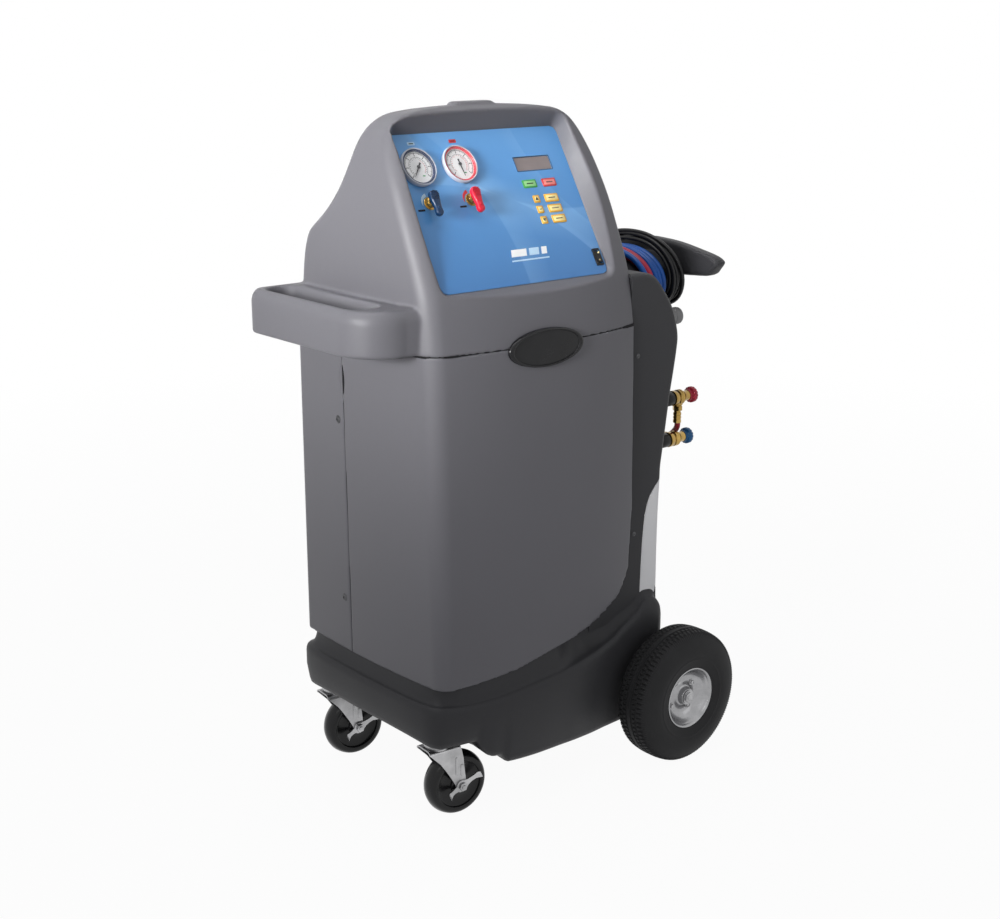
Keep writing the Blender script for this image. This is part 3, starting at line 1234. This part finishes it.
def make_caster(side, y):
    """A swivel caster with a face brake: plate, fork with race and bolt, wheel and lever."""
    swivel = Matrix.Translation((CASTER_X, y, 0)) @ Matrix.Rotation(CASTER_YAW, 4, "Z")
    wheel_frame = swivel @ Matrix.Translation((CASTER_TRAIL, 0, CASTER_RADIUS))
    plate_low = CASTER_TOP - CASTER_PLATE[2]
    outline = rounded_outline(CASTER_PLATE[0], CASTER_PLATE[1], 0.008)
    plate = prism(f"{side}_caster_plate", outline, plate_low, CASTER_TOP, ZINC)
    place(plate, (CASTER_X, y, 0))
    fork = fork_ribbon(f"{side}_caster_fork")
    fork.matrix_world = swivel
    race_top = plate_low - SEAT
    race_low = plate_low - RACE_HEIGHT - FORK_WALL / 2
    race = turned(f"{side}_race", [(0, race_low), (RACE_RADIUS - 0.004, race_low),
                                   (RACE_RADIUS, race_low + 0.005), (RACE_RADIUS, race_top),
                                   (0, race_top)], steps=14)
    race.matrix_world = swivel
    inside = CASTER_WIDTH / 2 + FORK_GAP
    reach = inside + FORK_WALL + BRAKE_THICK + 0.006
    bolt = turned(f"{side}_bolt", [(0, -reach), (BOLT_RADIUS, -reach),
                                   (BOLT_RADIUS, inside + FORK_WALL + 0.004),
                                   (0, inside + FORK_WALL + 0.004)], steps=8)
    bolt.matrix_world = wheel_frame @ ALONG_Y
    join(fork, race, bolt)
    half, bore = CASTER_WIDTH / 2, BOLT_RADIUS + RUN
    profile = [
        (bore, -half), (0.019, -half), (0.021, -half + 0.005), (CASTER_RADIUS - 0.014, -half + 0.005),
        (CASTER_RADIUS - 0.006, -half + 0.001), (CASTER_RADIUS, -half + 0.008),
    ]
    profile += [(r, -h) for r, h in reversed(profile)]
    wheel = turned(f"{side}_caster_wheel", profile, RUBBER, 18, closed=True)
    wheel.matrix_world = wheel_frame @ ALONG_Y
    lever = brake_lever(f"{side}_brake_lever")
    lever.matrix_world = wheel_frame @ Matrix.Translation((0, -inside - FORK_WALL - SEAT, 0))


def brake_lever(name):
    """A two-ended brake lever with a bore for the bolt; it lies against the fork's leg."""
    hub = 0.0105
    lean = math.radians(24)
    outline = []
    for start in (0, math.pi):
        a = lean + start
        reach = BRAKE_REACH if start == 0 else BRAKE_REACH - 0.008
        for turn, radius in ((-0.55, hub), (-0.10, reach * 0.75), (-0.06, reach),
                             (0.10, reach), (0.14, reach * 0.75), (0.55, hub), (1.2, hub)):
            outline.append((radius * math.cos(a + turn), radius * math.sin(a + turn)))
        outline.append((hub * math.cos(a + 1.9), hub * math.sin(a + 1.9)))
    rings = [[(x, y, z) for x, z in outline] for y in (0, -BRAKE_THICK)]
    lever = ring_solid(name, rings, ZINC)
    radius = BOLT_RADIUS + BRAKE_PLAY
    bore = turned(name + "_bore", [(0, -0.02), (radius, -0.02), (radius, 0.02), (0, 0.02)], steps=16)
    bore.matrix_world = ALONG_Y
    bore.parent = lever
    return cut(lever, bore)


def make_inside():
    """What the covers close in: tank on its scale, compressor, vacuum pump, condenser and fan."""
    floor = LOW_FLOOR + SEAT
    scale_top = floor + SCALE_SIZE[2]
    outline = rounded_outline(SCALE_SIZE[0], SCALE_SIZE[1], 0.012, 3, (TANK_X, 0))
    prism("scale_platform", outline, floor, scale_top, ZINC)

    r, h, w = TANK_RADIUS, TANK_HEIGHT, TANK_WALL
    tank = [
        (0.012, h), (0.020, h), (0.020, h - 0.022), (r * 0.70, h - 0.038), (r, h - 0.090),
        (r, 0.055), (r * 0.80, 0.018), (r * 0.80, 0), (r * 0.74, 0), (r * 0.74, 0.016),
        (0.004, 0.010), (0.004, 0.010 + w), (r * 0.78, 0.018 + w), (r - w, 0.058),
        (r - w, h - 0.092), (r * 0.68, h - 0.042), (0.012, h - 0.026),
    ]
    place(turned("refrigerant_tank", tank, TANK, 14, closed=True), (TANK_X, 0, scale_top + SEAT))

    r, h = COMPRESSOR_RADIUS, COMPRESSOR_HEIGHT
    shell = [(0, 0), (r * 0.86, 0), (r * 0.7, 0.014), (r, 0.045), (r, 0.085), (r * 1.03, 0.088),
             (r * 1.03, 0.094), (r, 0.097), (r * 0.97, h - 0.040), (r * 0.72, h - 0.010), (0, h)]
    place(turned("compressor", shell, BLACK, 12), (COMPRESSOR_X, COMPRESSOR_Y, floor))

    r, length = PUMP_RADIUS, PUMP_LENGTH
    motor = [(0, 0), (r * 0.8, 0), (r, 0.008), (r, 0.075), (r * 0.8, 0.080), (r * 0.8, 0.086),
             (r * 0.92, 0.090), (r * 0.92, length - 0.004), (r * 0.85, length), (0, length)]
    pump = turned("vacuum_pump", motor, ("pump_blue", (0.05, 0.14, 0.30), 0.45), 12)
    start = COMPRESSOR_X - length / 2
    place(pump, (start, PUMP_Y, floor + 0.010 + r), ALONG_X)
    foot = block("pump_foot", (0.100, 0.070, 0.030), (COMPRESSOR_X, PUMP_Y, floor + 0.015))
    join(pump, foot)

    r, h = FILTER_RADIUS, FILTER_HEIGHT
    drier = [(0, 0), (r * 0.55, 0), (r * 0.55, 0.012), (r, 0.024), (r, h - 0.024), (0.010, h - 0.010),
             (0.010, h), (0, h)]
    place(turned("filter_drier", drier, ("drier_paint", (0.02, 0.18, 0.09), 0.4), 12),
          (COMPRESSOR_X, FILTER_Y, floor))
    make_condenser()


def make_condenser():
    """Condenser core with its fan shroud and motor, and the fan that turns on the motor."""
    low = HIGH_FLOOR + SEAT
    middle = low + CORE_HEIGHT / 2
    core = block("condenser", (CORE_THICK, CORE_WIDTH, CORE_HEIGHT),
                 (CORE_X + CORE_THICK / 2, 0, middle), ("fins", (0.45, 0.46, 0.47), 0.5, 1.0))
    face = CORE_X + CORE_THICK
    ring = turned("shroud", [(FAN_RADIUS + 0.006, -0.002), (FAN_RADIUS + 0.012, -0.002),
                             (FAN_RADIUS + 0.009, 0.018), (FAN_RADIUS + 0.006, 0.018)], steps=18,
                  closed=True)
    place(ring, (face, 0, middle), ALONG_X)
    motor = turned("fan_motor", [(0, -0.002), (0.022, -0.002), (0.022, 0.0035), (FAN_SHAFT, 0.0035),
                                 (FAN_SHAFT, 0.020), (0, 0.020)], steps=12)
    place(motor, (face, 0, middle), ALONG_X)
    join(core, ring, motor)
    hub = turned("fan_blades", [(FAN_SHAFT + RUN, 0), (FAN_HUB, 0), (FAN_HUB, FAN_DEPTH),
                                (FAN_SHAFT + RUN, FAN_DEPTH)], ("fan_black", (0.02, 0.02, 0.02), 0.5),
                 12, closed=True)
    start = face + 0.0035 + SEAT
    place(hub, (start, 0, middle), ALONG_X)
    for k in range(5):
        blade = fan_blade(f"blade_{k}")
        turn = Matrix.Rotation(math.tau * k / 5, 4, "X")
        blade.matrix_world = Matrix.Translation((start, 0, middle)) @ turn
        join(hub, blade)


def fan_blade(name):
    """One twisted blade, pointing up from the hub."""
    rings = []
    stations = ((FAN_HUB - 0.003, 0.012, 32), (0.55 * FAN_RADIUS, 0.024, 26), (FAN_RADIUS, 0.030, 20))
    for radius, wide, pitch in stations:
        lean = math.radians(pitch)
        across = Vector((math.sin(lean), math.cos(lean)))
        thick = Vector((math.cos(lean), -math.sin(lean))) * BLADE_HALF_THICK
        middle = FAN_DEPTH / 2
        reach = min(wide, (middle - 2 * BLADE_HALF_THICK) / math.sin(lean))
        corners = [across * reach + thick, across * reach - thick, -across * reach - thick,
                   -across * reach + thick]
        rings.append([(middle + c.x, c.y, radius) for c in corners])
    return ring_solid(name, rings)


def main():
    clear_scene()
    make_base()
    make_covers()
    make_hood()
    make_panel()
    make_gauge("low_gauge", LOW_SIDE)
    make_gauge("high_gauge", HIGH_SIDE)
    make_needle("low_needle", LOW_SIDE, math.radians(-38))
    make_needle("high_needle", HIGH_SIDE, math.radians(6))
    make_valve("low", LOW_SIDE, BLUE)
    make_valve("high", HIGH_SIDE, RED)
    make_keys()
    make_power_rocker()
    make_badge()
    make_housing()
    make_hanger()
    make_rear_fittings()
    make_cords()
    make_rear_wheels()
    make_caster("near", -CASTER_Y)
    make_caster("far", CASTER_Y)
    make_inside()
    bpy.context.view_layer.update()
    for thing in bpy.data.objects:
        if thing.parent is None:
            thing.matrix_world = Matrix.Translation((-BODY_TO_MIDDLE, 0, 0)) @ thing.matrix_world


main()
